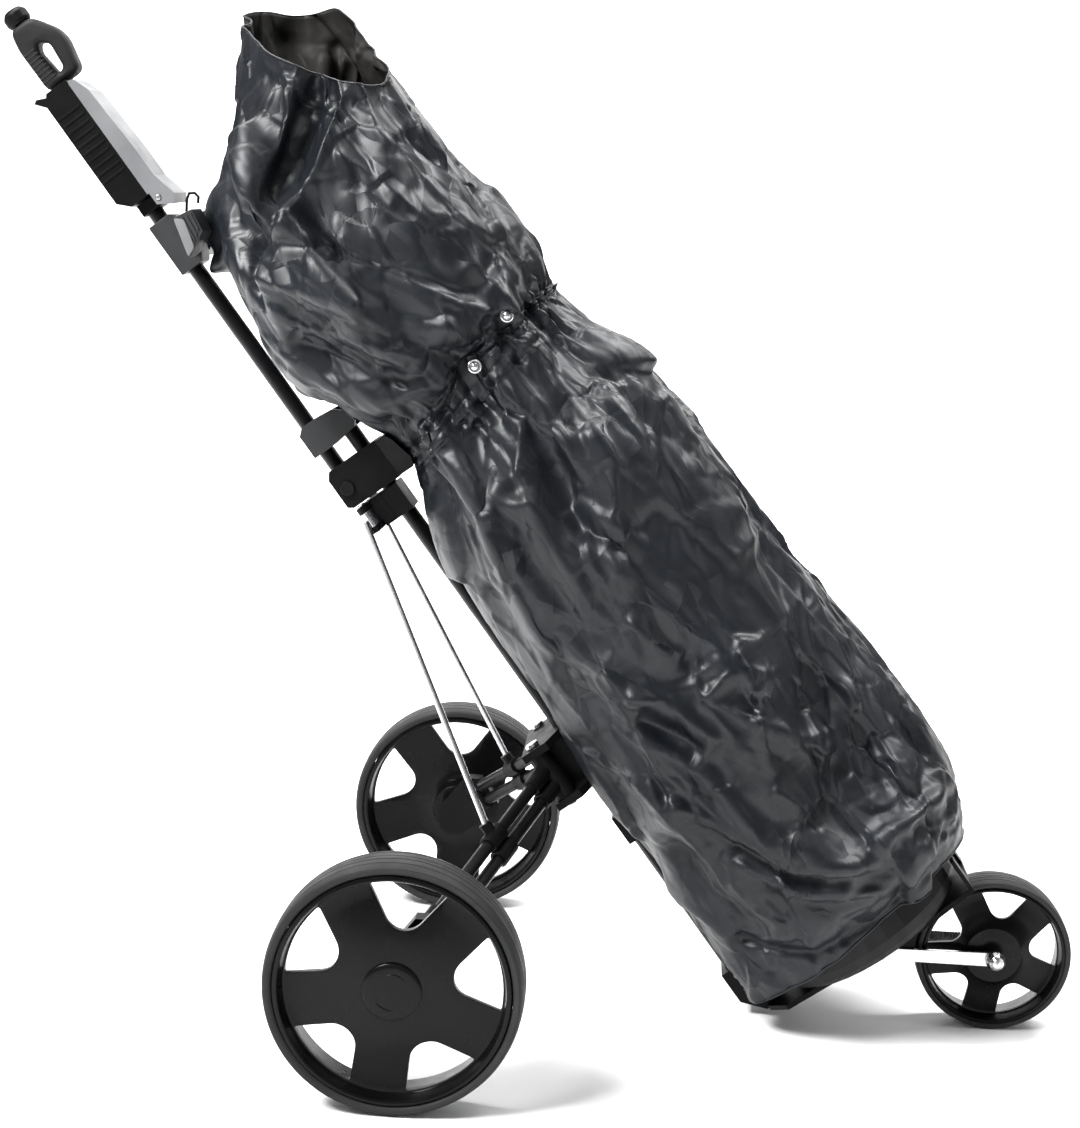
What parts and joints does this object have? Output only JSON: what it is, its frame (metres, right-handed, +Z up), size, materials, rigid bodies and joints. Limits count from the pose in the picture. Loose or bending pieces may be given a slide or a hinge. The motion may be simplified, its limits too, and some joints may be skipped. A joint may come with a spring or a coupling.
{
  "type": "golf bag on push cart",
  "caption": "Three-wheeled push cart with folding handle and swinging rear legs, carrying a golf bag under a hooded rain cover.",
  "frame": {"origin": "on the floor, under the middle of the bounding box", "axes": "+X is the way the cart rolls with the single wheel in front, +Y to its left, +Z up"},
  "size_m": [1.2126, 0.6856, 1.1024],
  "materials": {
    "bag_fabric": "matte",
    "bag_plastic": "satin",
    "black_paint": "satin",
    "black_plastic": "satin",
    "coated_nylon": "glossy",
    "grey_plastic": "satin",
    "grip_rubber": "matte",
    "silver_steel": "satin",
    "tyre_rubber": "matte"
  },
  "bodies": {
    "frame": {"main_tube": "black_paint", "hinge_housing": "black_plastic", "hinge_pin": "silver_steel", "upper_bag_rest": "black_plastic", "stay_block": "black_plastic", "stay_pin_right": "silver_steel", "stay_pin_left": "silver_steel", "leg_hub": "black_plastic", "leg_pin_right": "silver_steel", "leg_pin_left": "silver_steel", "lower_bag_rest": "black_plastic", "foot_cradle": "black_plastic", "fork_arm_right": "silver_steel", "fork_arm_left": "silver_steel", "front_axle": "silver_steel", "front_nut_right": "silver_steel", "front_nut_left": "silver_steel", "bag_body": "bag_fabric", "bag_base": "bag_plastic", "bag_cuff": "bag_plastic", "rain_cover": "coated_nylon"},
    "handle": {"handle_tube": "black_paint", "latch_clamp": "grey_plastic", "handle_bracket": "grey_plastic", "strap_hook": "black_paint", "grip_loop": "grip_rubber", "grip_end_cap": "black_plastic", "console_body": "black_plastic", "lid_lug": "black_plastic", "lid_pin": "silver_steel"},
    "lid": {"console_lid": "grey_plastic"},
    "trigger": {"fold_trigger": "black_plastic"},
    "leg_right": {"leg_knuckle_right": "black_plastic", "leg_tube_upper_right": "black_paint", "leg_tube_lower_right": "black_paint", "rod_clamp_right": "black_plastic", "stay_rod_right": "silver_steel", "wheel_bracket_right": "black_plastic"},
    "leg_left": {"leg_knuckle_left": "black_plastic", "leg_tube_upper_left": "black_paint", "leg_tube_lower_left": "black_paint", "rod_clamp_left": "black_plastic", "stay_rod_left": "silver_steel", "wheel_bracket_left": "black_plastic"},
    "wheel_rear_right": {"tyre_rear_right": "tyre_rubber", "rim_rear_right": "black_plastic", "hub_cap_rear_right": "black_plastic"},
    "wheel_rear_left": {"tyre_rear_left": "tyre_rubber", "rim_rear_left": "black_plastic", "hub_cap_rear_left": "black_plastic"},
    "wheel_front": {"tyre_front": "tyre_rubber", "rim_front": "black_plastic"}
  },
  "joints": [
    {"name": "handle_fold", "type": "hinge", "parent": "frame", "child": "handle", "pos_m": [-0.22054, 0, 0.58878], "axis": [0, -1, 0], "range_deg": [0, 110]},
    {"name": "lid_open", "type": "hinge", "parent": "handle", "child": "lid", "pos_m": [-0.43065, 0, 0.8975], "axis": [0, 1, 0], "range_deg": [0, 50]},
    {"name": "trigger_squeeze", "type": "hinge", "parent": "handle", "child": "trigger", "pos_m": [-0.54785, 0, 0.98823], "axis": [0, 1, 0], "range_deg": [0, 12], "stiffness_Nm_per_rad": 0.2},
    {"name": "leg_fold_right", "type": "hinge", "parent": "frame", "child": "leg_right", "pos_m": [0.01676, -0.045, 0.28051], "axis": [0.6018, 0, -0.7986], "range_deg": [0, 35]},
    {"name": "leg_fold_left", "type": "hinge", "parent": "frame", "child": "leg_left", "pos_m": [0.01676, 0.045, 0.28051], "axis": [-0.6018, 0, 0.7986], "range_deg": [0, 35]},
    {"name": "wheel_spin_rear_right", "type": "hinge", "parent": "leg_right", "child": "wheel_rear_right", "pos_m": [-0.12121, -0.31, 0.132], "axis": [0, 1, 0], "continuous": true},
    {"name": "wheel_spin_rear_left", "type": "hinge", "parent": "leg_left", "child": "wheel_rear_left", "pos_m": [-0.12121, 0.31, 0.132], "axis": [0, 1, 0], "continuous": true},
    {"name": "wheel_spin_front", "type": "hinge", "parent": "frame", "child": "wheel_front", "pos_m": [0.51929, 0, 0.087], "axis": [0, 1, 0], "continuous": true}
  ],
  "couplings": [
    {"joint": "leg_fold_left", "follows": "leg_fold_right", "ratio": 1}
  ]
}
